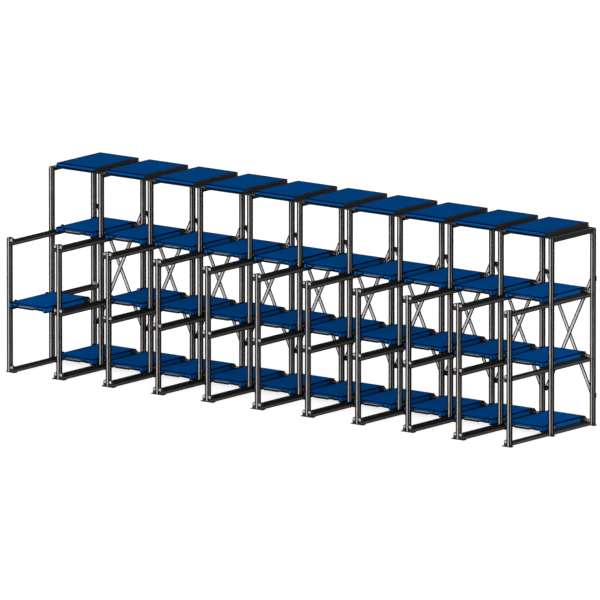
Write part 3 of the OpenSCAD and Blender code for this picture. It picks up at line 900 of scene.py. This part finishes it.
def dressTracks():
    rails = [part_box(level + "_rails") for level in levelNames]
    front, back = (corner.y / mm for corner in rails[0])
    plateFront, plateBack = (corner.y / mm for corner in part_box("middle_foot_plates"))
    betweenPlates = [
        (front + track["endRoom"], plateFront - track["plateRoom"]),
        (plateBack + track["plateRoom"], back - track["endRoom"]),
    ]
    guides = [part for group in bothSides(buildGuide) for part in group]
    models = [("guideDiscs", joinPieces("guideDiscs", guides), (0, 1, 2))]
    strips = [
        ("shortStrips", betweenPlates, track["shortTall"], (0,)),
        ("longStrips", [(front, back)], track["longTall"], (1, 2)),
    ]
    for name, spans, tall, levels in strips:
        parts = []
        for y0, y1 in spans:
            parts += bothSides(lambda at: buildStrip(at, y0, y1, tall))
        models.append((name, joinPieces(name, parts), levels))
    for name, model, levels in models:
        copyAlong(model, grid["bays"], grid["bay"], 0)
        for level in levels:
            rise = Vector((0, 0, rails[level][0].z - rails[0][0].z))
            copyPiece(model, name + levelNames[level].title(), rise, "rack_frame")
        bpy.data.objects.remove(model)
    print("track pieces set")


dressTracks()


# dark edging on the posts' corners and along the braces
edging = {
    "over": 3.5, "out": 5.5, "postWide": 30.0, "postSoft": 1.5,
    "braceOut": 7.0, "proud": 0.5, "braceSoft": 1.0,
}


def buildPostEdges(node):
    low, high = (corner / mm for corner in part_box(node))
    parts = []
    for x, wayX in ((low.x, -1), (low.x + edging["postWide"], 1)):
        for y, wayY in ((low.y, -1), (high.y, 1)):
            x0, x1 = span(x - wayX * edging["over"], x + wayX * edging["out"])
            y0, y1 = span(y - wayY * edging["over"], y + wayY * edging["out"])
            strip = startBlock((x0, y0, low.z), (x1, y1, high.z))
            softenEdges(strip, edging["postSoft"])
            wear(strip, "capPlastic")
            parts.append(strip)
    return joinPieces("postEdges", parts)


def buildBraceEdges(node, way):
    low, high = (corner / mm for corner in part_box(node))
    half = math.hypot(brace["run"], brace["rise"]) / 2
    parts = []
    for side in (-1, 1):                            # laid level, then turned to the brace's slope
        edge = side * brace["wide"] / 2
        z0, z1 = span(edge - side * edging["over"], edge + side * edging["braceOut"])
        strip = startBlock((-half, low.y - edging["proud"], z0), (half, high.y + edging["proud"], z1))
        softenEdges(strip, edging["braceSoft"], 1)
        strip.rotation_euler = (0, -way * braceAngle, 0)
        strip.location = (middle * mm, 0, brace["crossing"] * mm)
        applyPlace()
        wear(strip, "capPlastic")
        parts.append(strip)
    return joinPieces("braceEdges", parts)


def dressEdges():
    models = [(node, buildPostEdges(node), grid["bays"] + 1) for node in nodeFinishes["postPaint"]]
    for name, way in braceWays.items():
        node = name + "_braces"
        models.append((node, buildBraceEdges(node, way), grid["bays"]))
    for node, model, count in models:
        copyAlong(model, count, grid["bay"], 0)
        label = node.title().replace("_", "")
        copyPiece(model, "edging" + label, Vector((0, 0, 0)), "rack_frame")
        bpy.data.objects.remove(model)
    print("edging set")


dressEdges()


# floor and light
floorSpec = {"size": 120.0, "glow": 0.80, "colour": (0.56, 0.56, 0.56), "bounce": (0.5, 0.5, 0.5)}
lightSpec = {
    "sky": 0.26, "away": 8.0,
    "suns": {
        "frontLight": {"toLight": (-0.20, -0.96, 0.06), "energy": 1.8, "spread": 40.0},
        "keyLight": {"toLight": (0.62, -0.72, 0.30), "energy": 1.2, "spread": 40.0},
        "sideLight": {"toLight": (0.92, -0.18, 0.28), "energy": 0.7, "spread": 60.0},
        "backLight": {"toLight": (-0.45, 0.85, 0.28), "energy": 0.9, "spread": 60.0},
    },
}


def directRays(tree):                               # 1 for camera, glossy and transmission rays
    path = tree.nodes.new("ShaderNodeLightPath")
    total = path.outputs["Is Camera Ray"]
    for name in ("Is Glossy Ray", "Is Transmission Ray"):
        total = addMath(tree, "MAXIMUM", total, path.outputs[name])
    return total


def mixByRay(tree, indirect, direct, output):       # one look for light that bounces, one for what is seen
    mix = tree.nodes.new("ShaderNodeMixShader")
    tree.links.new(directRays(tree), mix.inputs["Fac"])
    tree.links.new(indirect.outputs[0], mix.inputs[1])
    tree.links.new(direct.outputs[0], mix.inputs[2])
    tree.links.new(mix.outputs[0], output.inputs["Surface"])


def addFloor(spec):
    deselectAll()
    bpy.ops.mesh.primitive_plane_add(size=spec["size"], location=(0, 0, 0))
    floor = bpy.context.object
    floor.name = "studioFloor"
    material = bpy.data.materials.new("studioFloor")
    material.use_nodes = True
    tree = material.node_tree
    tree.nodes.clear()
    output = tree.nodes.new("ShaderNodeOutputMaterial")
    bounce = tree.nodes.new("ShaderNodeBsdfDiffuse")
    bounce.inputs["Color"].default_value = (*spec["bounce"], 1)
    seen = tree.nodes.new("ShaderNodeBsdfDiffuse")
    seen.inputs["Color"].default_value = (*spec["colour"], 1)
    glow = tree.nodes.new("ShaderNodeEmission")
    glow.inputs["Strength"].default_value = spec["glow"]
    both = tree.nodes.new("ShaderNodeAddShader")
    tree.links.new(seen.outputs[0], both.inputs[0])
    tree.links.new(glow.outputs[0], both.inputs[1])
    mixByRay(tree, bounce, both, output)
    floor.data.materials.append(material)


def addLight(spec):
    for name, light in spec["suns"].items():
        toLight = Vector(light["toLight"])
        bpy.ops.object.light_add(type="SUN", location=toLight * spec["away"])
        sun = bpy.context.object
        sun.name = name
        sun.data.energy = light["energy"]
        sun.data.angle = math.radians(light["spread"])
        sun.rotation_euler = (-toLight).to_track_quat("-Z", "Y").to_euler()
    world = bpy.data.worlds.new("studioWorld")
    bpy.context.scene.world = world
    world.use_nodes = True
    tree = world.node_tree
    tree.nodes.clear()
    output = tree.nodes.new("ShaderNodeOutputWorld")
    sky = tree.nodes.new("ShaderNodeBackground")
    sky.inputs["Strength"].default_value = spec["sky"]
    white = tree.nodes.new("ShaderNodeBackground")
    for background in (sky, white):
        background.inputs["Color"].default_value = (1, 1, 1, 1)
    mixByRay(tree, sky, white, output)


deselectAll()
addFloor(floorSpec)
addLight(lightSpec)
print("floor and light set")
